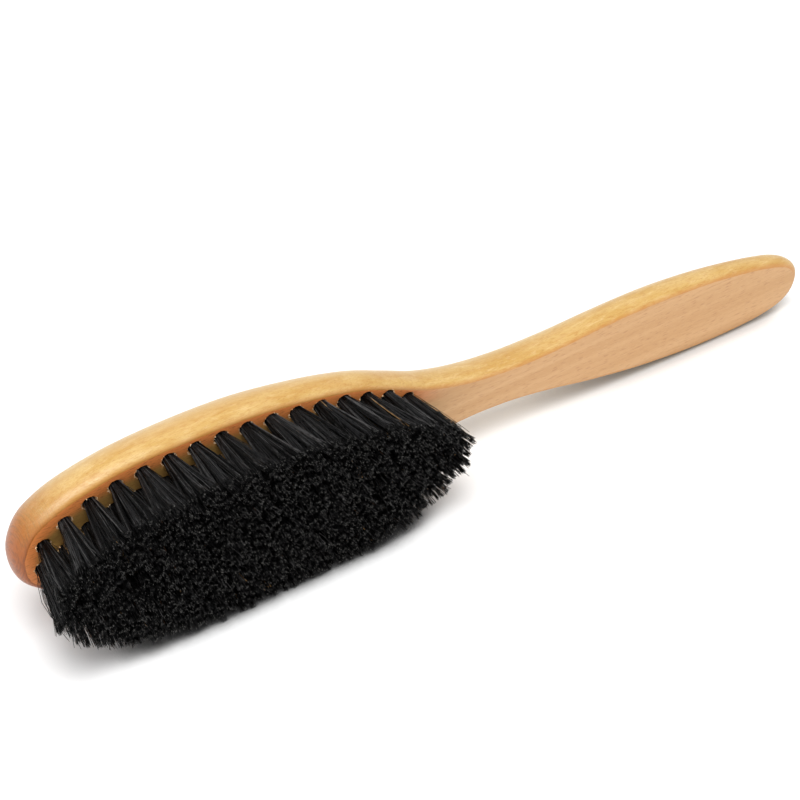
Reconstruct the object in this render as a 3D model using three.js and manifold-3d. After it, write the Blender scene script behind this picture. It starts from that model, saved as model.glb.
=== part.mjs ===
// Clothes brush: a one-piece beech body with an oval head, a narrow neck and a paddle handle, and 79
// tufts of black bristle set in blind drilled holes. The brush lies on its side, as it is put down on a
// table, with its bristles towards -Y. The origin is under the middle of the brush, on the surface that
// it lies on.
import * as THREE from 'three';
import { mergeVertices } from 'three/addons/utils/BufferGeometryUtils.js';
import Module from 'manifold-3d';

const wasm = await Module();
wasm.setup();

// Driving dimensions, in millimetres. In the brush's own frame +X runs from the toe of the head to the
// end of the handle, +Y is the rounded back, Z is across the brush, and the flat face is the plane y = 0.
const LENGTH = 272.1;
const BRISTLE_LENGTH = 19.3; // from the flat face to the tips
const TUFT_ROOT_RADIUS = 1.7;
const TUFT_TIP_RADIUS = 3.5;
const HOLE_RADIUS = 2.05;
const HOLE_DEPTH = 8;
const TUFT_SEAT_GAP = 0.35; // between the bottom of a hole and the folded end of its tuft
const SIDE_BULGE = 1.4; // how far the side stands out beyond the edge of the flat face
const WIDEST_HEIGHT = 0.24; // where the side is widest, as a share of the thickness
const BACK_FULLNESS = 2.5; // exponent of the superellipse of the back, where 2 is a plain ellipse
const BRISTLES_DOWN = THREE.MathUtils.degToRad(1.027); // how far the bristles dip as the brush lies
const HANDLE_DOWN = THREE.MathUtils.degToRad(3.863); // how far the handle's end dips as the brush lies

// Half of the flat face's outline: place along the brush, and half-width there.
const FACE_HALF_OUTLINE = [
  [0, 0], [1.4, 6], [5, 10.6], [14.5, 16], [33, 21.2], [63, 23.5], [86, 22.2], [104, 19.1], [118, 14.3],
  [130, 9.9], [144, 7.2], [160, 6.5], [176, 7.8], [192, 10.1], [212, 12], [234, 12.3], [254, 10.7],
  [265.8, 8], [270.9, 4.3], [LENGTH, 0],
];
// Heights of the middle of the back over the flat face, at even steps from BACK_START to BACK_END along
// the brush. Beyond those two places the back closes in a dome.
const BACK_START = 23;
const BACK_END = 258;
const BACK_HEIGHTS = [15.6, 16.8, 14.8, 12, 11.4, 11.4, 9];

// The tufts stand in three closed rings round the middle of the head, and a single one stands at the
// heel end of the innermost ring.
const TUFT_RINGS = [
  {
    name: 'tuft_outer',
    halfOutline: [[5, 0], [5.8, 3.6], [8.8, 7], [12.8, 9.8], [19.6, 13.4], [28, 16.1], [43, 18.7],
      [61, 20], [78, 19.6], [94, 17.9], [107, 15.1], [117, 11.8], [123.4, 7.8], [126.5, 3.8],
      [127.2, 0]],
    count: 34,
    perNode: 1,
    phase: 0.5, // place of the first tuft, in steps from the toe
    lean: 1, // how far a tip leans out from the middle of the head
  },
  {
    name: 'tufts_middle',
    halfOutline: [[12.6, 0], [18.8, 4.6], [26, 8], [41, 10.8], [62, 12], [84, 11.4], [100, 9.3], [110, 6.3],
      [115.6, 3.2], [117.6, 0]],
    count: 28,
    perNode: 2,
    phase: 0,
    lean: 0.5,
  },
  {
    name: 'tufts_inner',
    halfOutline: [[30, 0], [33, 3], [38, 3.9], [62, 3.9], [86, 3.9], [91, 3], [94, 0]],
    count: 16,
    perNode: 2,
    phase: 0,
    lean: 0.2,
  },
  { name: 'tuft_heel', halfOutline: [[104.5, 0], [105, 0]], count: 1, perNode: 1, phase: 0, lean: 0 },
];
// Each ring's tips lean away from the middle of its middle line. This is the part of that line, to each
// side of its middle, as a share of half the ring's length.
const FAN_STRETCH = 0.4;
const PAIR_LEAN = 0.95; // how far each tip of a joined pair leans towards the other
// The tuft's shape from its tips up: share of the tip radius, and share of the bristle length.
const TUFT_CROWN = [[0, 1], [0.8, 1], [1, 0.93], [0.76, 0.5]];
const TUFT_NECK = 1; // how far from the flat face a tuft starts to open out

const STATIONS = 80; // steps round the outline, an even number
const SIDE_STEPS = 3;
const BACK_STEPS = 8;
const ROUND_SIDES = 8;
const WELD_DISTANCE = 1e-3;

const beech = new THREE.MeshStandardMaterial({ color: 0xcf9f66, roughness: 0.45, metalness: 0 });
const bristle = new THREE.MeshStandardMaterial({ color: 0x17130f, roughness: 0.55, metalness: 0 });

// A smooth curve through the points.
function splineThrough(points) {
  return new THREE.SplineCurve(points.map(([x, y]) => new THREE.Vector2(x, y)));
}

// A point of a closed outline that mirrors its half across X. share runs from 0 to 1 round the whole of
// the outline.
function pointRound(halfCurve, share) {
  const mirrored = share > 0.5;
  const point = halfCurve.getPointAt(mirrored ? 2 - 2 * share : 2 * share);
  return new THREE.Vector2(point.x, mirrored ? -point.y : point.y);
}

function toSolid(geometry) {
  geometry.deleteAttribute('normal');
  geometry.deleteAttribute('uv');
  const merged = mergeVertices(geometry, WELD_DISTANCE);
  return new wasm.Manifold(new wasm.Mesh({
    numProp: 3,
    vertProperties: Float32Array.from(merged.attributes.position.array),
    triVerts: Uint32Array.from(merged.index.array),
  }));
}

function toGeometry(solid) {
  const mesh = solid.getMesh();
  const geometry = new THREE.BufferGeometry();
  geometry.setAttribute('position', new THREE.BufferAttribute(mesh.vertProperties, 3));
  geometry.setIndex(new THREE.BufferAttribute(mesh.triVerts, 1));
  geometry.computeVertexNormals();
  return geometry;
}

// The section of the body at one step out from the middle of the flat face, round the side and up to the
// middle of the back. reach is the share of the half-width, bulge the share of SIDE_BULGE, and rise the
// share of the height.
function sectionStep(step) {
  if (step <= 1) return { reach: step, bulge: 0, rise: 0 };
  if (step <= 1 + SIDE_STEPS) {
    const climb = (step - 1) / SIDE_STEPS;
    return { reach: 1, bulge: 1 - (1 - climb) ** 2, rise: WIDEST_HEIGHT * climb };
  }
  const angle = ((step - 1 - SIDE_STEPS) / BACK_STEPS) * (Math.PI / 2);
  const power = 2 / BACK_FULLNESS;
  const across = Math.max(0, Math.cos(angle)) ** power;
  const up = Math.sin(angle) ** power;
  return { reach: across, bulge: across, rise: WIDEST_HEIGHT + (1 - WIDEST_HEIGHT) * up };
}

// The body is an open cylinder wrapped on the section. Both of its ends fold shut, on the middle lines of
// the flat face and of the back.
function makeBodyBlank() {
  const steps = 1 + SIDE_STEPS + BACK_STEPS;
  const outline = splineThrough(FACE_HALF_OUTLINE);
  const step = (BACK_END - BACK_START) / (BACK_HEIGHTS.length - 1);
  const back = splineThrough(BACK_HEIGHTS.map((height, i) => [BACK_START + step * i, height]));
  const geometry = new THREE.CylinderGeometry(1, 1, steps, STATIONS, steps, true);
  const position = geometry.attributes.position;
  for (let i = 0; i < position.count; i += 1) {
    const row = Math.round(steps / 2 - position.getY(i));
    const column = i % (STATIONS + 1);
    const edge = pointRound(outline, column / STATIONS);
    const spine = new THREE.Vector2(THREE.MathUtils.clamp(edge.x, BACK_START, BACK_END), 0);
    const outward = edge.clone().sub(spine);
    const { reach, bulge, rise } = sectionStep(row);
    const far = outward.length() * reach + SIDE_BULGE * bulge;
    const place = outward.normalize().multiplyScalar(far).add(spine);
    const height = back.getPoint((spine.x - BACK_START) / (BACK_END - BACK_START)).y * rise;
    position.setXYZ(i, place.x, height, -place.y);
  }
  return toSolid(geometry);
}

// Where each tuft of a ring stands on the flat face, and which way it leans.
function placeTufts(ring) {
  const outline = splineThrough(ring.halfOutline);
  const middle = ring.halfOutline.at(-1)[0] / 2;
  return Array.from({ length: ring.count }, (_, i) => {
    const root = pointRound(outline, (i + ring.phase) / ring.count);
    const stretch = middle * FAN_STRETCH;
    const side = new THREE.Vector2(THREE.MathUtils.clamp(root.x, middle - stretch, middle + stretch), 0);
    return { root, lean: root.clone().sub(side).normalize().multiplyScalar(ring.lean) };
  });
}

function makeHole({ root }) {
  const hole = new THREE.CylinderGeometry(HOLE_RADIUS, HOLE_RADIUS, 2 * HOLE_DEPTH, ROUND_SIDES);
  hole.translate(root.x, 0, root.y);
  return toSolid(hole);
}

// A tuft is straight in its hole, opens out from the flat face and ends in a shallow crown.
function makeTuft({ root, lean }) {
  const foot = HOLE_DEPTH - TUFT_SEAT_GAP;
  const profile = [
    ...TUFT_CROWN.map(([width, length]) => [width * TUFT_TIP_RADIUS, -length * BRISTLE_LENGTH]),
    [TUFT_ROOT_RADIUS, -TUFT_NECK],
    [TUFT_ROOT_RADIUS, foot],
    [0, foot],
  ];
  const tuft = new THREE.LatheGeometry(profile.map(([r, y]) => new THREE.Vector2(r, y)), ROUND_SIDES);
  const position = tuft.attributes.position;
  for (let i = 0; i < position.count; i += 1) {
    const out = Math.max(0, -position.getY(i) / BRISTLE_LENGTH);
    position.setX(i, position.getX(i) + root.x + lean.x * out);
    position.setZ(i, position.getZ(i) + root.y + lean.y * out);
  }
  return toSolid(tuft);
}

// Two neighbouring tufts whose tips lean together and meet.
function makePair(first, second) {
  const towards = second.root.clone().sub(first.root).normalize().multiplyScalar(PAIR_LEAN);
  const left = makeTuft({ root: first.root, lean: first.lean.clone().add(towards) });
  const right = makeTuft({ root: second.root, lean: second.lean.clone().sub(towards) });
  return left.add(right);
}

function addMesh(group, name, solid, material) {
  const mesh = new THREE.Mesh(toGeometry(solid), material);
  mesh.name = name;
  group.add(mesh);
}

function makeBrush() {
  const brush = new THREE.Group();
  let body = makeBodyBlank();
  for (const ring of TUFT_RINGS) {
    const tufts = placeTufts(ring);
    for (let i = 0; i < tufts.length; i += ring.perNode) {
      const number = String(i / ring.perNode + 1).padStart(2, '0');
      const solid = ring.perNode === 2 ? makePair(tufts[i], tufts[i + 1]) : makeTuft(tufts[i]);
      addMesh(brush, `${ring.name}_${number}`, solid, bristle);
    }
    for (const tuft of tufts) body = body.subtract(makeHole(tuft));
  }
  addMesh(brush, 'brush_body', body, beech);
  return brush;
}

// Turns the brush on to its side, at the tilt at which it comes to rest, over the middle of the surface.
function layDown(brush) {
  brush.rotation.set(BRISTLES_DOWN, HANDLE_DOWN, 0, 'YXZ');
  const box = new THREE.Box3().setFromObject(brush, true);
  const middle = box.getCenter(new THREE.Vector3());
  brush.position.set(-middle.x, -middle.y, -box.min.z);
  const laid = new THREE.Group();
  laid.add(brush);
  return laid;
}

export default layDown(makeBrush());
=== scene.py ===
"""Clothes brush: lacquered beech body with drilled tuft holes, and every bristle as its own tapered hair."""

import math

import bmesh
import bpy
import numpy as np
from mathutils import Matrix, Vector
from mathutils.kdtree import KDTree


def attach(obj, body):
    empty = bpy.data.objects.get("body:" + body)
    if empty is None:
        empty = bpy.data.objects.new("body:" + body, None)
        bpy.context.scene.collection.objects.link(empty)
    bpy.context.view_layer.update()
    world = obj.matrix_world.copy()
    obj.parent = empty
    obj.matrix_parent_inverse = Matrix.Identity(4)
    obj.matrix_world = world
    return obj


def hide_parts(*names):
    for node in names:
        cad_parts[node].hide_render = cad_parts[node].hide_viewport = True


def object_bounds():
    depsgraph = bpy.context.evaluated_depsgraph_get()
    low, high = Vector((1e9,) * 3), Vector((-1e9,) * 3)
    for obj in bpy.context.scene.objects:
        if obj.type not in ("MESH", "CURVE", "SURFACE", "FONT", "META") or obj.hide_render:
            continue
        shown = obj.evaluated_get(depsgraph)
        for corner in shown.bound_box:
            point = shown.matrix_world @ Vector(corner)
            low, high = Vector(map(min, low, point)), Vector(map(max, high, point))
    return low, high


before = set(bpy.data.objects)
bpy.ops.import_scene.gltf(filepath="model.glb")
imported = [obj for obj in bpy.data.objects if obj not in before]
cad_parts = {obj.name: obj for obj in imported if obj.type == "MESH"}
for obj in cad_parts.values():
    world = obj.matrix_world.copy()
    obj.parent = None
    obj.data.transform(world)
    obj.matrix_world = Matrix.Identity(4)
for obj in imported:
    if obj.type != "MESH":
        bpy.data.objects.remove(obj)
cad_low, cad_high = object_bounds()

MM = 0.001  # the shapes below are worked out in millimetres, in the brush's own frame

# The body, as the CAD model has it: X from the toe to the handle's end, Y towards the back, Z across.
BRISTLES_DOWN = math.radians(1.027)
HANDLE_DOWN = math.radians(3.863)
FACE_HALF_OUTLINE = [
    (0, 0), (1.4, 6), (5, 10.6), (14.5, 16), (33, 21.2), (63, 23.5), (86, 22.2), (104, 19.1), (118, 14.3),
    (130, 9.9), (144, 7.2), (160, 6.5), (176, 7.8), (192, 10.1), (212, 12), (234, 12.3), (254, 10.7),
    (265.8, 8), (270.9, 4.3), (272.1, 0),
]
BACK_START, BACK_END = 23, 258
BACK_HEIGHTS = [15.6, 16.8, 14.8, 12, 11.4, 11.4, 9]
SIDE_BULGE = 1.4
WIDEST_HEIGHT = 0.24
BACK_FULLNESS = 2.5
CREASE = 0.7  # how softly the flat face turns into the side
FLAT_MARGIN = 2.4  # how far in from its edge the flat face starts to turn
FLAT_SHARES = (0, 0.4, 0.75, 0.95)  # rows of the flat face, as shares of the way out to its margin
SIDE_ROWS = 20
BACK_ROWS = 35
BACK_CROWDING = 1.2  # above 1, the back's rows crowd towards the side
STATIONS = 420
FINE_STATIONS = 4000  # for measuring how far a point is from the edge
HOLE_RADIUS = 2.05
HOLE_DEPTH = 8.0
RIM_WIDTH = 0.32  # the torn, pale edge round each hole
RIM_DEPTH = 0.25
RIM_SIDES = 30
CUTTER_RISE = 2.0  # how far the cutter stands clear of the flat face
BURRS_PER_HOLE = 9

# The bristles.
BRISTLE_LENGTH = 19.3
HAIRS_PER_TUFT = 400
HAIR_RADIUS = 0.085
HAIR_THICKNESS_RANGE = (0.75, 1.15)
END_TAPER = 0.85
ROOT_SPREAD = 1.98
TIP_SPREAD = 5.8
OPEN_SPREAD = 4.6  # where a tuft has no neighbour
TIP_OVERLAP = 1.2  # how far a tuft's tips reach in among its neighbour's
CLUMPS_PER_TUFT = 26
CLUMP_PULL = 0.5  # how far the tips gather towards the middle of their clump
CLUMP_LENGTH_SPREAD = 0.5
HAIR_LENGTH_SPREAD = 0.15
BOW = 0.2
WILD_SHARE = 0.03  # hairs that leave their tuft's shape
WILD_BOW = 5  # their bow, as a multiple of the others'
WILD_SPREAD = 1.2
CROWN = 0.8  # how much lower the outermost tips of a tuft stand than its middle ones
CURL = 0.3  # how far the last stretch of a hair turns aside
FOOT_HEIGHT = 2.0  # how far inside the hole a hair starts
FOOT_PINCH = 0.85
FLOOR_GAP = 0.1
# Places along a hair, from the flat face to its cut end.
HAIR_STEPS = (0, 0.25, 0.5, 0.75, 0.93, 0.985, 1)
# Where the tips are splayed: along the brush for the toe and the heel, across it for the lower edge.
TOE_ZONE, HEEL_ZONE, LOWER_ZONE = (75, 15), (104, 126), (4, -16)
TOE_SPLAY, HEEL_SPLAY = (-2.4, -0.9), (-0.7, 1.5)
TOE_GROWTH, LOWER_GROWTH = 2.3, 0.2  # how much longer the hairs of the lower edge are

rng = np.random.default_rng(7)


# ---------------------------------------------------------------- the camera

AIM_OFFSET = Vector((-0.0114, 0.0081, -0.0013))  # of the camera's aim, from the middle of the CAD box
LENS = 117.9
SENSOR_WIDTH = 36


def look_from(target, azimuth, elevation, distance, roll=0.0):
    """The placing of a camera or a lamp that looks at the target. The angles are in degrees."""
    a, e = math.radians(azimuth), math.radians(elevation)
    back = Vector((math.sin(a) * math.cos(e), -math.cos(a) * math.cos(e), math.sin(e)))
    turn = (-back).to_track_quat("-Z", "Y").to_matrix().to_4x4()
    return Matrix.Translation(target + back * distance) @ turn @ Matrix.Rotation(math.radians(roll), 4, "Z")


def add_camera():
    data = bpy.data.cameras.new("camera")
    data.sensor_width = SENSOR_WIDTH
    data.lens = LENS
    camera = bpy.data.objects.new("camera", data)
    bpy.context.scene.collection.objects.link(camera)
    target = (cad_low + cad_high) / 2 + AIM_OFFSET
    camera.matrix_world = look_from(target, azimuth=-39.18, elevation=40.62, distance=0.7356, roll=5.1)
    bpy.context.scene.camera = camera


add_camera()


# ---------------------------------------------------------------- the brush's own frame

def brush_pose():
    """The matrix from the brush's own frame, in millimetres, to the row frame, in metres."""
    turn = Matrix.Rotation(HANDLE_DOWN, 3, "Y") @ Matrix.Rotation(BRISTLES_DOWN, 3, "X")
    rows = np.array(turn)
    places = node_points("brush_body") @ rows
    low, high = places.min(0), places.max(0)
    origin = rows @ np.array([low[0] + SIDE_BULGE * MM, low[1], (low[2] + high[2]) / 2])
    pose = np.eye(4)
    pose[:3, :3] = rows * MM
    pose[:3, 3] = origin
    return pose


def node_points(node):
    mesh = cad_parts[node].data
    points = np.empty(len(mesh.vertices) * 3)
    mesh.vertices.foreach_get("co", points)
    return points.reshape(-1, 3)


POSE = brush_pose()
TO_BRUSH = np.linalg.inv(POSE)


def to_row(points):
    return points @ POSE[:3, :3].T + POSE[:3, 3]


def to_brush(points):
    return points @ TO_BRUSH[:3, :3].T + TO_BRUSH[:3, 3]


# ---------------------------------------------------------------- meshes and materials

def add_mesh(name, points, faces, material, slot):
    """A new piece from points in the brush's frame, in millimetres."""
    mesh = bpy.data.meshes.new(name)
    mesh.from_pydata(to_row(points).tolist(), [], faces)
    mesh.materials.append(material)
    piece = bpy.data.objects.new(name, mesh)
    bpy.context.scene.collection.objects.link(piece)
    return piece


def keep_place(piece):
    """Stores each point's place in the brush's frame, in millimetres, as an attribute."""
    mesh = piece.data
    points = np.empty(len(mesh.vertices) * 3)
    mesh.vertices.foreach_get("co", points)
    place = to_brush(points.reshape(-1, 3)).astype(np.float32)
    attribute = mesh.attributes.new("place", "FLOAT_VECTOR", "POINT")
    attribute.data.foreach_set("vector", place.ravel())


class Nodes:
    """Short calls for building one material's node tree."""

    def __init__(self, name):
        self.material = bpy.data.materials.new(name)
        self.material.use_nodes = True
        self.tree = self.material.node_tree
        self.shader = self.tree.nodes["Principled BSDF"]

    def add(self, kind, **settings):
        node = self.tree.nodes.new(kind)
        for key, value in settings.items():
            setattr(node, key, value)
        return node

    def link(self, source, target):
        self.tree.links.new(source, target)

    def put(self, socket, value):
        if isinstance(value, bpy.types.NodeSocket):
            self.link(value, socket)
        else:
            socket.default_value = value

    def place(self):
        return self.add("ShaderNodeAttribute", attribute_name="place").outputs["Vector"]

    def stretched(self, vector, scale):
        node = self.add("ShaderNodeVectorMath", operation="MULTIPLY")
        self.link(vector, node.inputs[0])
        node.inputs[1].default_value = scale
        return node.outputs[0]

    def noise(self, vector, scale, detail=3.0, roughness=0.5, distortion=0.0):
        node = self.add("ShaderNodeTexNoise")
        self.link(vector, node.inputs["Vector"])
        node.inputs["Scale"].default_value = scale
        node.inputs["Detail"].default_value = detail
        node.inputs["Roughness"].default_value = roughness
        node.inputs["Distortion"].default_value = distortion
        return node.outputs["Fac"]

    def smooth(self, value, low, high, to_low=0.0, to_high=1.0):
        node = self.add("ShaderNodeMapRange", interpolation_type="SMOOTHSTEP")
        self.put(node.inputs["Value"], value)
        node.inputs["From Min"].default_value = low
        node.inputs["From Max"].default_value = high
        node.inputs["To Min"].default_value = to_low
        node.inputs["To Max"].default_value = to_high
        return node.outputs["Result"]

    def math(self, operation, a, b):
        node = self.add("ShaderNodeMath", operation=operation)
        self.put(node.inputs[0], a)
        self.put(node.inputs[1], b)
        return node.outputs[0]

    def mix(self, factor, a, b):
        node = self.add("ShaderNodeMix", data_type="RGBA")
        self.put(node.inputs["Factor"], factor)
        self.put(node.inputs[6], a)
        self.put(node.inputs[7], b)
        return node.outputs[2]

    def bump(self, height, strength, distance):
        node = self.add("ShaderNodeBump")
        self.link(height, node.inputs["Height"])
        node.inputs["Strength"].default_value = strength
        node.inputs["Distance"].default_value = distance
        self.link(node.outputs["Normal"], self.shader.inputs["Normal"])


def rgb(red, green, blue):
    """A colour from its screen values, 0 to 255, as the shader wants it."""
    def straight(c):
        c /= 255
        return c / 12.92 if c <= 0.04045 else ((c + 0.055) / 1.055) ** 2.4
    return (straight(red), straight(green), straight(blue), 1)


def beech_material():
    n = Nodes("beech_wood")
    place = n.place()
    split = n.add("ShaderNodeSeparateXYZ")
    n.link(place, split.inputs[0])
    along, across = split.outputs["X"], split.outputs["Z"]
    inset = n.add("ShaderNodeAttribute", attribute_name="inset").outputs["Fac"]
    turned = n.add("ShaderNodeVectorRotate", rotation_type="Y_AXIS")
    n.link(place, turned.inputs["Vector"])
    turned.inputs["Angle"].default_value = math.radians(5)
    grain = turned.outputs[0]

    clouds = n.noise(n.stretched(place, (0.06, 0.25, 0.25)), 1.0, detail=4, distortion=0.8)
    patches = n.noise(n.stretched(place, (0.22, 0.9, 0.9)), 1.0, detail=5, roughness=0.65, distortion=0.5)
    bands = n.noise(n.stretched(grain, (0.006, 0.22, 0.22)), 1.0, detail=2, distortion=0.4)
    dashes = n.noise(n.stretched(grain, (0.45, 3.2, 3.2)), 1.0, detail=4, roughness=0.65)
    pores = n.noise(n.stretched(grain, (0.9, 7, 7)), 1.0, detail=2, roughness=0.5)
    flecks = n.noise(n.stretched(grain, (0.3, 2.4, 2.4)), 1.0, detail=2, roughness=0.45)

    side = n.mix(n.smooth(clouds, 0.3, 0.7), rgb(196, 156, 84), rgb(208, 174, 110))
    side = n.mix(n.smooth(patches, 0.52, 0.66, 0, 0.7), side, rgb(214, 182, 124))
    side = n.mix(n.smooth(patches, 0.48, 0.32, 0, 0.5), side, rgb(184, 136, 66))
    side = n.mix(n.smooth(bands, 0.45, 0.6, 0, 0.3), side, rgb(184, 132, 62))
    side = n.mix(n.smooth(dashes, 0.5, 0.62, 0, 0.4), side, rgb(178, 122, 58))
    side = n.mix(n.smooth(pores, 0.6, 0.7, 0, 0.4), side, rgb(144, 88, 34))
    # Painted highlight: the side is painted paler high up towards the ridge, in place of the sheen of light
    # there.
    side = n.mix(n.smooth(inset, -4, -9, 0, 0.35), side, rgb(214, 190, 148))
    side = n.mix(n.smooth(inset, -1.1, 0.1, 0, 0.6), side, rgb(190, 118, 44))
    # Painted shade: the toe's lower end, turned away from the light, is painted a deeper amber, with
    # ring-like grain in it.
    toe_shade_slant = n.math("ADD", along, n.math("MULTIPLY", across, 0.8))
    rings = n.noise(n.stretched(place, (4.5, 0.25, 0.5)), 1.0, detail=3, distortion=0.2)
    toe = n.mix(n.smooth(rings, 0.46, 0.6, 0, 0.65), rgb(154, 76, 12), rgb(112, 54, 10))
    side = n.mix(n.smooth(toe_shade_slant, 33, -2, 0, 0.95), side, toe)

    flat = n.mix(n.smooth(bands, 0.35, 0.65), rgb(196, 150, 100), rgb(206, 162, 114))
    flat = n.mix(n.smooth(flecks, 0.55, 0.68, 0, 0.5), flat, rgb(168, 116, 68))
    flat = n.mix(n.smooth(dashes, 0.46, 0.3, 0, 0.4), flat, rgb(216, 178, 132))
    # Painted shade: on the head, the flat face is painted a deeper orange than on the handle, and olive-dark
    # further in among the tufts that shade it. Grain dashes run over it.
    head_shade_and_grain = n.mix(n.smooth(inset, 2.5, 6), rgb(214, 124, 58), rgb(160, 122, 58))
    head_shade_and_grain = n.mix(n.smooth(dashes, 0.5, 0.66, 0, 0.6), head_shade_and_grain, rgb(124, 66, 26))
    flat = n.mix(n.smooth(along, 138, 120, 0, 0.9), flat, head_shade_and_grain)

    edge = n.math("ADD", inset, n.math("MULTIPLY", patches, 0.5))
    is_side = n.smooth(edge, 0.6, 0.35)
    n.link(n.mix(is_side, flat, side), n.shader.inputs["Base Color"])
    rough = n.smooth(dashes, 0.3, 0.7, -0.05, 0.07)
    n.link(n.math("ADD", n.smooth(is_side, 0, 1, 0.55, 0.34), rough), n.shader.inputs["Roughness"])
    n.bump(n.math("ADD", dashes, flecks), 0.35, 0.00012)
    n.shader.inputs["Specular IOR Level"].default_value = 0.5
    return n.material


def torn_wood_material():
    """The pale, unlacquered wood that the drill left at the rim of each hole."""
    n = Nodes("torn_beech")
    fibres = n.noise(n.stretched(n.place(), (3, 3, 3)), 1.0, detail=3)
    colour = n.mix(n.smooth(fibres, 0.4, 0.6), rgb(200, 150, 96), rgb(250, 226, 190))
    n.link(colour, n.shader.inputs["Base Color"])
    n.shader.inputs["Roughness"].default_value = 0.85
    n.bump(fibres, 0.5, 0.0001)
    return n.material


def bristle_material(name, colour):
    n = Nodes(name)
    worn = n.noise(n.stretched(n.place(), (1, 0.4, 1)), 1.5, detail=2)
    dull, clean = ([c * share for c in colour[:3]] + [1] for share in (0.7, 1.3))
    n.link(n.mix(n.smooth(worn, 0.35, 0.65), dull, clean), n.shader.inputs["Base Color"])
    n.link(n.smooth(worn, 0.3, 0.7, 0.25, 0.5), n.shader.inputs["Roughness"])
    n.bump(n.noise(n.stretched(n.place(), (6, 1, 6)), 1.5, detail=2), 0.3, 0.00003)
    n.shader.inputs["Specular IOR Level"].default_value = 0.2
    return n.material


# The colour of each kind of hair, and its share. The charcoal and gray hairs are partly the bristles' own
# mixed tones and partly painted sheen, in place of the streaks of light along the hairs. The last, pale tone
# paints glints on cut ends.
BRISTLE_TONES = [("bristle_black", rgb(4, 4, 4), 0.5), ("bristle_charcoal", rgb(35, 35, 36), 0.3),
                 ("bristle_gray", rgb(77, 76, 76), 0.195), ("bristle_brown", rgb(84, 56, 34), 0.003),
                 ("bristle_blond", rgb(170, 134, 90), 0.002), ("bristle_end_glint", rgb(98, 97, 94), 0)]
SHADED_END_SHARE = 0.75  # hairs whose last stretch is painted black: painted shade in among the tips
GLINT_END_SHARE = 0.22  # hairs whose cut ends are painted pale, as painted glints
OWN_TONE_SHARE = 0.5  # hairs that don't have the tone of their clump


# ---------------------------------------------------------------- the wooden body

def spline(points, count):
    """count points, evenly spaced, on a Catmull-Rom curve through the given points."""
    knots = np.array(points, float)
    last = len(knots) - 1
    place = np.linspace(0, last, 60 * last + 1)
    i = np.minimum(place.astype(int), last - 1)
    w = (place - i)[:, None]
    p0, p1 = knots[np.maximum(i - 1, 0)], knots[i]
    p2, p3 = knots[i + 1], knots[np.minimum(i + 2, last)]
    v0, v1 = (p2 - p0) / 2, (p3 - p1) / 2
    dense = (2 * p1 - 2 * p2 + v0 + v1) * w**3 + (-3 * p1 + 3 * p2 - 2 * v0 - v1) * w**2 + v0 * w + p1
    run = np.concatenate([[0], np.cumsum(np.linalg.norm(np.diff(dense, axis=0), axis=1))])
    even = np.linspace(0, run[-1], count)
    return np.stack([np.interp(even, run, dense[:, k]) for k in range(dense.shape[1])], 1)


def face_outline(stations):
    """The closed edge of the flat face, evenly stepped from the toe, its kinks smoothed without shrinking."""
    half = spline(FACE_HALF_OUTLINE, stations // 2 + 1)
    ring = np.concatenate([half, (half * (1, -1))[-2:0:-1]])
    for _ in range(8):
        for pull in (0.5, -0.52):
            ring = ring + pull * ((np.roll(ring, 1, 0) + np.roll(ring, -1, 0)) / 2 - ring)
    return ring


def section(reach, height):
    """(distance out, height) for each row of the section, from the middle of the flat face to the ridge."""
    widest = WIDEST_HEIGHT * height
    rows = [(np.maximum(reach - FLAT_MARGIN, 0) * share, 0 * reach) for share in FLAT_SHARES]
    start = (-FLAT_MARGIN + math.hypot(FLAT_MARGIN, CREASE)) / 2
    for share in np.linspace(0, 1, SIDE_ROWS):
        q = -FLAT_MARGIN + (widest + FLAT_MARGIN) * share
        up = (q + np.sqrt(q * q + CREASE**2)) / 2
        bulge = SIDE_BULGE * (1 - (1 - np.minimum(up / widest, 1)) ** 2)
        rows.append((reach + q - up + bulge, up - start))
    for share in np.linspace(0, 1, BACK_ROWS + 1)[1:]:
        angle = math.pi / 2 * share**BACK_CROWDING
        across = max(0.0, math.cos(angle)) ** (2 / BACK_FULLNESS)
        climb = math.sin(angle) ** (2 / BACK_FULLNESS)
        rows.append(((reach + SIDE_BULGE) * across, widest + (height - widest) * climb))
    return np.array(rows)


def body_surface():
    stations = STATIONS
    edge = face_outline(stations)
    back = spline(list(zip(np.linspace(BACK_START, BACK_END, len(BACK_HEIGHTS)), BACK_HEIGHTS)), 400)
    spine = np.clip(edge[:, 0], BACK_START, BACK_END)
    outward = edge - np.stack([spine, 0 * spine], 1)
    reach = np.linalg.norm(outward, axis=1)
    outward /= reach[:, None]
    height = np.interp(spine, back[:, 0], back[:, 1])
    rows = section(reach, height)
    steps = rows.shape[0]
    x = spine + rows[:, 0] * outward[:, 0]
    z = rows[:, 0] * outward[:, 1]
    points = np.stack([x, rows[:, 1], z], 2)
    this = np.arange(stations)
    following = (this + 1) % stations
    faces = []
    for row in range(steps - 1):
        a, b = row * stations + this, row * stations + following
        c, d = b + stations, a + stations
        faces.extend(np.stack([a, b, c, d], 1).tolist())
    return points.reshape(-1, 3), faces


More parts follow.
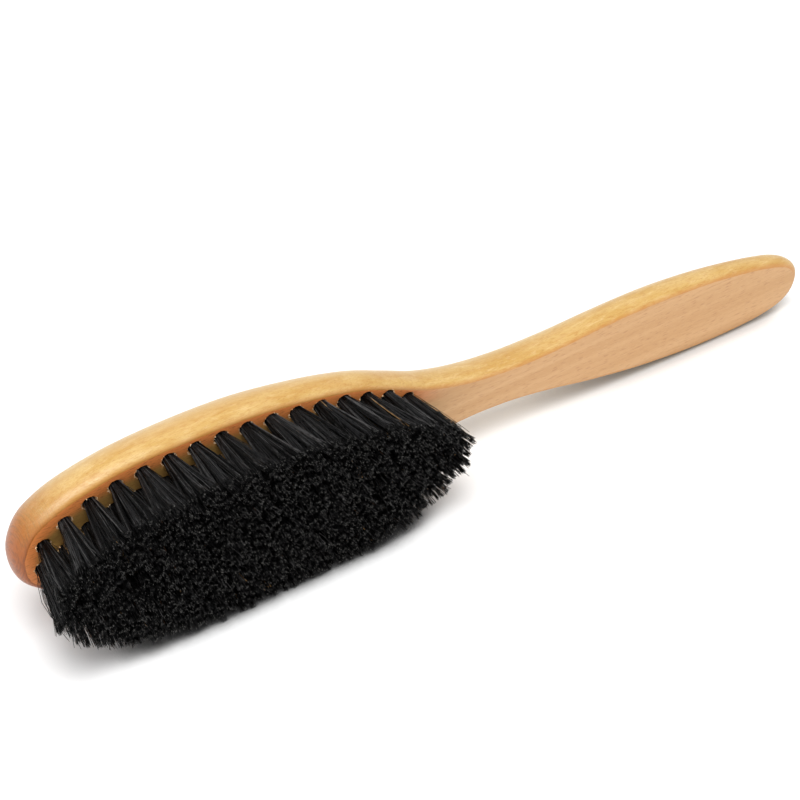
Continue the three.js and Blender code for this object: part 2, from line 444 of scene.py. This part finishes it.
def hole_cutter(tufts):
    """The drilled holes as one solid: its points, the faces of the ragged mouths, and all the other faces."""
    sides = RIM_SIDES
    turn = np.linspace(0, 2 * math.pi, sides, endpoint=False)
    ring = np.stack([np.cos(turn), 0 * turn, np.sin(turn)], 1)
    points, mouths, walls = [], [], []
    for tuft in tufts:
        base = len(points)
        centre = np.array([tuft["root"][0], 0, tuft["root"][1]])
        ragged = RIM_WIDTH * rng.uniform(0.2, 1.5, (sides, 1)) * (0.2 + np.abs(ring[:, :1]) ** 2)
        mouth = ring * (HOLE_RADIUS + ragged * (1 + CUTTER_RISE / RIM_DEPTH)) + centre - (0, CUTTER_RISE, 0)
        neck = ring * HOLE_RADIUS + centre + (0, RIM_DEPTH, 0)
        bottom = ring * HOLE_RADIUS + centre + (0, HOLE_DEPTH, 0)
        for level in (mouth, neck, bottom):
            points.extend(level.tolist())
        for k in range(sides):
            m = (k + 1) % sides
            mouths.append((base + k, base + sides + k, base + sides + m, base + m))
            walls.append((base + sides + k, base + 2 * sides + k, base + 2 * sides + m, base + sides + m))
        walls.append([base + k for k in range(sides)])
        walls.append([base + 2 * sides + k for k in reversed(range(sides))])
    return np.array(points), mouths, walls


def make_body(tufts, wood, torn):
    body = add_mesh("beech_body", *body_surface(), wood, "beech_wood")
    bm = bmesh.new()
    bm.from_mesh(body.data)
    bmesh.ops.remove_doubles(bm, verts=bm.verts, dist=2e-6)
    bmesh.ops.dissolve_degenerate(bm, edges=bm.edges, dist=1e-6)
    bmesh.ops.recalc_face_normals(bm, faces=bm.faces)
    bm.to_mesh(body.data)
    bm.free()
    points, mouths, walls = hole_cutter(tufts)
    cutter = add_mesh("hole_cutter", points, mouths + walls, wood, "beech_wood")
    for piece in (body, cutter):
        piece.data.materials.append(torn)
    cutter.data.polygons.foreach_set("material_index", [1] * len(mouths) + [0] * len(walls))
    cut = body.modifiers.new("holes", "BOOLEAN")
    cut.operation, cut.solver, cut.object = "DIFFERENCE", "EXACT", cutter
    view = bpy.context.evaluated_depsgraph_get()
    body.data = bpy.data.meshes.new_from_object(body.evaluated_get(view), depsgraph=view)
    body.modifiers.clear()
    bpy.data.objects.remove(cutter)
    body.data.polygons.foreach_set("use_smooth", [True] * len(body.data.polygons))
    body.data.set_sharp_from_angle(angle=math.radians(35))
    keep_place(body)
    keep_inset(body)
    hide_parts("brush_body")
    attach(body, "root")


def keep_inset(body):
    """Stores how far each point lies in from the edge of the flat face or, as a negative, above it."""
    edge = face_outline(FINE_STATIONS)
    tree = KDTree(len(edge))
    for i, (x, z) in enumerate(edge):
        tree.insert((x, 0, z), i)
    tree.balance()
    place = np.empty(len(body.data.vertices) * 3, np.float32)
    body.data.attributes["place"].data.foreach_get("vector", place)
    place = place.reshape(-1, 3)
    inset = -place[:, 1]
    for i in np.nonzero(place[:, 1] < CREASE / 2)[0]:
        inset[i] += max(0.0, tree.find((place[i, 0], 0, place[i, 2]))[2] - CREASE / 2)
    body.data.attributes.new("inset", "FLOAT", "POINT").data.foreach_set("value", inset.copy())


def make_burrs(tufts, torn):
    """Short wood fibres that stand up at the rims of the holes."""
    points, faces = [], []
    for tuft in tufts:
        centre = np.array([tuft["root"][0], 0.12, tuft["root"][1]])
        for turn in rng.normal(0, 0.5, BURRS_PER_HOLE) + math.pi * rng.integers(0, 2, BURRS_PER_HOLE):
            out = np.array([math.cos(turn), 0, math.sin(turn)])
            across = np.array([-out[2], 0, out[0]]) * rng.uniform(0.1, 0.35)
            foot = centre + out * (HOLE_RADIUS + rng.uniform(0, 0.3))
            lean = out * rng.uniform(-0.3, 0.3) - (0, rng.uniform(0.25, 0.6), 0)
            tip = foot + lean + across * rng.normal(0, 1)
            base = len(points)
            points.extend([foot - across, foot + across, foot + out * 0.14, tip])
            corners = [(0, 1, 3), (1, 2, 3), (2, 0, 3), (0, 2, 1)]
            faces.extend([tuple(base + corner for corner in face) for face in corners])
    burrs = add_mesh("hole_burrs", np.array(points), faces, torn, "beech_wood")
    keep_place(burrs)
    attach(burrs, "root")


# ---------------------------------------------------------------- the tufts

def tufts_of(node):
    """The root and tip centres of the tufts in a CAD node, in the brush's frame, as (x, z)."""
    points = to_brush(node_points(node))
    feet = points[points[:, 1] > 1][:, [0, 2]]
    tips = points[points[:, 1] < -0.999 * BRISTLE_LENGTH][:, [0, 2]]
    spread = feet - feet.mean(0)
    if np.abs(spread).max() < 3:
        return [{"root": feet.mean(0), "tip": tips.mean(0)}]
    axis = spread[np.argmax(np.linalg.norm(spread, axis=1))]
    middle = feet.mean(0)
    pair = []
    for sign in (1, -1):
        mine = feet[(feet - middle) @ axis * sign > 0]
        ends = tips[(tips - middle) @ axis * sign > 0]
        pair.append({"root": mine.mean(0), "tip": (ends.mean(0) + mine.mean(0)) / 2})
    return pair


def hair_tubes(paths, radii):
    """Three-sided tubes along paths of shape (hairs, steps, 3), closed at both ends."""
    hairs, steps, _ = paths.shape
    along = np.gradient(paths, axis=1)
    along /= np.linalg.norm(along, axis=2, keepdims=True)
    guide = rng.normal(size=(hairs, 1, 3))
    side = np.cross(along, guide)
    side /= np.linalg.norm(side, axis=2, keepdims=True)
    other = np.cross(along, side)
    turn = np.array([0, 2, 4]) * math.pi / 3
    ring = (side[:, :, None] * np.cos(turn)[:, None] + other[:, :, None] * np.sin(turn)[:, None])
    points = paths[:, :, None] + ring * radii[:, :, None, None]
    first = (np.arange(hairs) * steps * 3)[:, None]
    quads = []
    for step in range(steps - 1):
        for k in range(3):
            m = (k + 1) % 3
            low, high = step * 3, step * 3 + 3
            corners = (low + k, low + m, high + m, high + k)
            quads.append(np.concatenate([first + corner for corner in corners], 1))
    ends = [np.concatenate([first + 2, first + 1, first], 1),
            np.concatenate([first + (steps - 1) * 3 + k for k in range(3)], 1)]
    faces = [face for block in quads + ends for face in block.tolist()]
    return points.reshape(-1, 3), faces


def in_disc(count, radius):
    turn = rng.uniform(0, 2 * math.pi, count)
    return np.stack([np.cos(turn), np.sin(turn)], 1) * (radius * np.sqrt(rng.uniform(0, 1, count)))[:, None]


def random_tones(count):
    return rng.choice(len(BRISTLE_TONES), count, p=[share for _, _, share in BRISTLE_TONES])


def tip_places(tuft, others, count):
    """Even places for the tips around the tuft's own, only a little way in among the neighbouring tufts."""
    offsets = in_disc(6 * count, TIP_SPREAD)
    places = tuft["tip"] + offsets
    nearest_other = np.linalg.norm(places[:, None] - others[None], axis=2).min(1)
    own = np.linalg.norm(offsets, axis=1)
    kept = own < nearest_other + rng.uniform(0, TIP_OVERLAP, len(own))
    kept &= (own < OPEN_SPREAD) | (nearest_other < own + 1.5)
    return offsets[kept][:count]


def hair_paths(tuft, others, count):
    """The hairs of one tuft: packed in the hole, fanning out from its mouth, in clumps at the tips."""
    fan = tip_places(tuft, others, count)
    count = len(fan)
    root = tuft["root"] + fan * (ROOT_SPREAD / TIP_SPREAD)
    clumps = fan[rng.choice(count, CLUMPS_PER_TUFT, replace=False)]
    nearest = np.argmin(np.linalg.norm(fan[:, None] - clumps[None], axis=2), axis=1)
    crown = CROWN * (np.linalg.norm(fan, axis=1) / TIP_SPREAD) ** 2
    length = BRISTLE_LENGTH + CROWN / 2 - crown + rng.normal(0, HAIR_LENGTH_SPREAD, count)
    length = length + rng.normal(0, CLUMP_LENGTH_SPREAD, len(clumps))[nearest]
    fan = fan + (clumps[nearest] - fan) * CLUMP_PULL + rng.normal(0, 0.1, fan.shape)
    tip = tuft["tip"] + fan
    bow = rng.normal(0, BOW, (count, 2))
    wild = rng.uniform(0, 1, count) < WILD_SHARE
    bow[wild] *= WILD_BOW
    tip[wild] += rng.normal(0, WILD_SPREAD, (wild.sum(), 2))
    clump_tones = random_tones(len(clumps))[nearest]
    tones = np.where(rng.uniform(0, 1, count) < OWN_TONE_SHARE, random_tones(count), clump_tones)
    return bent_hairs(root, *splayed(tip, length), bow), tones


def ramp(value, start, end):
    """0 at start to 1 at end, with soft ends."""
    share = np.clip((value - start) / (end - start), 0, 1)
    return share * share * (3 - 2 * share)


def splayed(tip, length):
    """The tips as use has left them: spread out and long at the toe's lower edge, drawn in at the heel."""
    toe, heel = ramp(tip[:, 0], *TOE_ZONE), ramp(tip[:, 0], *HEEL_ZONE)
    low = ramp(tip[:, 1], *LOWER_ZONE)
    along = TOE_SPLAY[0] * toe + HEEL_SPLAY[0] * heel
    across = TOE_SPLAY[1] * toe * low + HEEL_SPLAY[1] * heel * low
    return tip + np.stack([along, across], 1), length + (TOE_GROWTH * toe + LOWER_GROWTH) * low * (1 - heel)


def bent_hairs(root, tip, length, bow):
    """Hairs from root to tip, both as (x, z), bowed between them and curled at the end."""
    count = len(root)
    curl = rng.normal(0, CURL, (count, 2))
    paths = np.empty((count, len(HAIR_STEPS) + 1, 3))
    middle = root.mean(0)
    foot = middle + (root - middle) * FOOT_PINCH
    paths[:, 0] = np.stack([foot[:, 0], np.full(count, FOOT_HEIGHT), foot[:, 1]], 1)
    for step, out in enumerate(HAIR_STEPS):
        across = root + (tip - root) * (0.9 * out + 0.1 * out**2) + bow * math.sin(math.pi * out)
        across = across + curl * max(0.0, out - HAIR_STEPS[3]) / (1 - HAIR_STEPS[3])
        paths[:, step + 1] = np.stack([across[:, 0], -length * out, across[:, 1]], 1)
    return paths


def keep_off_floor(paths):
    """Hairs that would pass through the surface are pressed flat against it."""
    placed = to_row(paths.reshape(-1, 3))
    placed[:, 2] = np.maximum(placed[:, 2], FLOOR_GAP * MM)
    return to_brush(placed).reshape(paths.shape)


def make_hairs(name, paths, tones, materials, node=None):
    paths = keep_off_floor(paths)
    hairs, steps, _ = paths.shape
    radii = np.full((hairs, steps), HAIR_RADIUS) * rng.uniform(*HAIR_THICKNESS_RANGE, (hairs, 1))
    radii[:, -2:] *= END_TAPER
    points, faces = hair_tubes(paths, radii)
    piece = add_mesh(name, points, faces, materials[0], "bristle")
    for material in materials[1:]:
        piece.data.materials.append(material)
    first = np.array([face[0] for face in faces])
    owner, level = first // (steps * 3), first % (steps * 3) // 3
    # Painted shade: the last stretch of most hairs is made black. Painted glints: some cut ends are made
    # pale.
    shaded = (level >= steps - 3) & (rng.uniform(0, 1, hairs) < SHADED_END_SHARE)[owner]
    glint_end = (level >= steps - 2) & (rng.uniform(0, 1, hairs) < GLINT_END_SHARE)[owner]
    tone = np.where(glint_end, len(BRISTLE_TONES) - 1, np.where(shaded, 0, tones[owner]))
    piece.data.polygons.foreach_set("material_index", tone.astype(np.int32))
    piece.data.polygons.foreach_set("use_smooth", [True] * len(piece.data.polygons))
    keep_place(piece)
    if node:
        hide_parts(node)
    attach(piece, "root")


def make_tufts(groups, materials):
    tips = {(node, k): tuft["tip"] for node, tufts in groups.items() for k, tuft in enumerate(tufts)}
    for node, tufts in groups.items():
        for number, tuft in enumerate(tufts):
            others = np.array([tip for key, tip in tips.items() if key != (node, number)])
            letter = "ab"[number] if len(tufts) > 1 else ""
            paths, tones = hair_paths(tuft, others, HAIRS_PER_TUFT)
            make_hairs(f"hairs_{node}{letter}", paths, tones, materials, node)


def stray_hairs(tufts, place, count, reach, bow):
    """Hairs of the tuft nearest to place that stand apart, reach and bow away from the others, as (x, z)."""
    tuft = min(tufts, key=lambda tuft: np.linalg.norm(tuft["root"] - place))
    root = tuft["root"] + in_disc(count, ROOT_SPREAD)
    spread = rng.uniform(0.2, 1, (count, 1))
    tip = tuft["tip"] + np.array(reach) * spread + rng.normal(0, 1, (count, 2))
    bows = np.array(bow) * rng.uniform(0.3, 1, (count, 1)) + rng.normal(0, 0.3, (count, 2))
    return bent_hairs(root, *splayed(tip, BRISTLE_LENGTH + rng.uniform(-1, 2, count)), bows)


def make_strays(tufts, materials):
    """Hairs that stick out at the toe, at the heel and along the lower edge."""
    groups = [
        stray_hairs(tufts, (6, -4), 14, (-2.2, -1.5), (-2.8, -0.8)),
        stray_hairs(tufts, (6, 4), 6, (-2, 0), (-1.8, 0)),
        stray_hairs(tufts, (12, -9), 8, (-3, -3), (-1, -1)),
        stray_hairs(tufts, (121, 10), 7, (4, 2), (0.8, 0.5)),
        stray_hairs(tufts, (126, 4), 7, (4, 0), (0.8, 0)),
        stray_hairs(tufts, (126, -4), 5, (3, -2), (0.8, 0)),
    ]
    lower = [tuft for tuft in tufts if tuft["root"][1] < -9 and 15 < tuft["root"][0] < 120]
    groups += [stray_hairs(lower, tuft["root"], 2, (0, -2.5), (0, -0.3)) for tuft in lower[::2]]
    paths = np.concatenate(groups)
    make_hairs("stray_hairs", paths, random_tones(len(paths)), materials)
    long_hair = stray_hairs(tufts, (76, 20), 1, (1.5, -3), (0.5, 0.5))
    fair = [stray_hairs(tufts, (x, 18), 1, (1, 0), (0, 0.6)) for x in (66, 84, 92, 98, 106)]
    blond = [name for name, _, _ in BRISTLE_TONES].index("bristle_blond")
    make_hairs("fair_hairs", np.concatenate([long_hair] + fair), np.full(1 + len(fair), blond), materials)


# ---------------------------------------------------------------- floor and light

FLOOR_HALF = 3.0
FLOOR_COLOUR = (0.93, 0.93, 0.93, 1)
SHADE_REACH = 0.013  # how close a thing has to be for the painted shade to darken the floor
SHADE_UNDER_HEAD, SHADE_UNDER_HANDLE = (0.05, 0.05, 0.05, 1), (0.55, 0.55, 0.55, 1)


def add_floor():
    """A pale floor with painted shade: its colour is darker close to what stands on it, and less so under the
    handle.
    """
    mesh = bpy.data.meshes.new("floor")
    half = FLOOR_HALF
    corners = [(-half, -half, 0), (half, -half, 0), (half, half, 0), (-half, half, 0)]
    mesh.from_pydata(corners, [], [(0, 1, 2, 3)])
    n = Nodes("floor")
    # Painted shade: ambient occlusion darkens the floor's colour close to the brush.
    near = n.add("ShaderNodeAmbientOcclusion", samples=16)
    near.inputs["Distance"].default_value = SHADE_REACH
    split = n.add("ShaderNodeSeparateXYZ")
    n.link(n.add("ShaderNodeNewGeometry").outputs["Position"], split.inputs[0])
    darkest_painted_shade = n.mix(n.smooth(split.outputs["X"], -0.01, 0.03), SHADE_UNDER_HEAD, SHADE_UNDER_HANDLE)
    open_sky = n.smooth(near.outputs["AO"], 0.42, 0.78)
    n.link(n.mix(open_sky, darkest_painted_shade, FLOOR_COLOUR), n.shader.inputs["Base Color"])
    n.shader.inputs["Roughness"].default_value = 0.9
    n.shader.inputs["Specular IOR Level"].default_value = 0.1
    mesh.materials.append(n.material)
    floor = bpy.data.objects.new("floor", mesh)
    bpy.context.scene.collection.objects.link(floor)


def add_light(name, azimuth, elevation, distance, size, power):
    data = bpy.data.lights.new(name, "AREA")
    data.shape = "SQUARE"
    data.size = size
    data.energy = power
    light = bpy.data.objects.new(name, data)
    bpy.context.scene.collection.objects.link(light)
    light.matrix_world = look_from(Vector((0, 0, 0)), azimuth, elevation, distance)


def add_world():
    world = bpy.data.worlds.new("studio")
    world.use_nodes = True
    background = world.node_tree.nodes["Background"]
    background.inputs["Color"].default_value = (1, 1, 1, 1)
    background.inputs["Strength"].default_value = 0.75
    bpy.context.scene.world = world
    bpy.context.scene.view_settings.view_transform = "Standard"


def main():
    beech, torn = beech_material(), torn_wood_material()
    bristles = [bristle_material(name, colour) for name, colour, _ in BRISTLE_TONES]
    groups = {node: tufts_of(node) for node in sorted(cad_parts) if node != "brush_body"}
    tufts = [tuft for pair in groups.values() for tuft in pair]
    make_body(tufts, beech, torn)
    make_burrs(tufts, torn)
    make_tufts(groups, bristles)
    make_strays(tufts, bristles)
    add_floor()
    add_world()
    add_light("key", azimuth=-50, elevation=70, distance=1.6, size=1.0, power=22)


main()
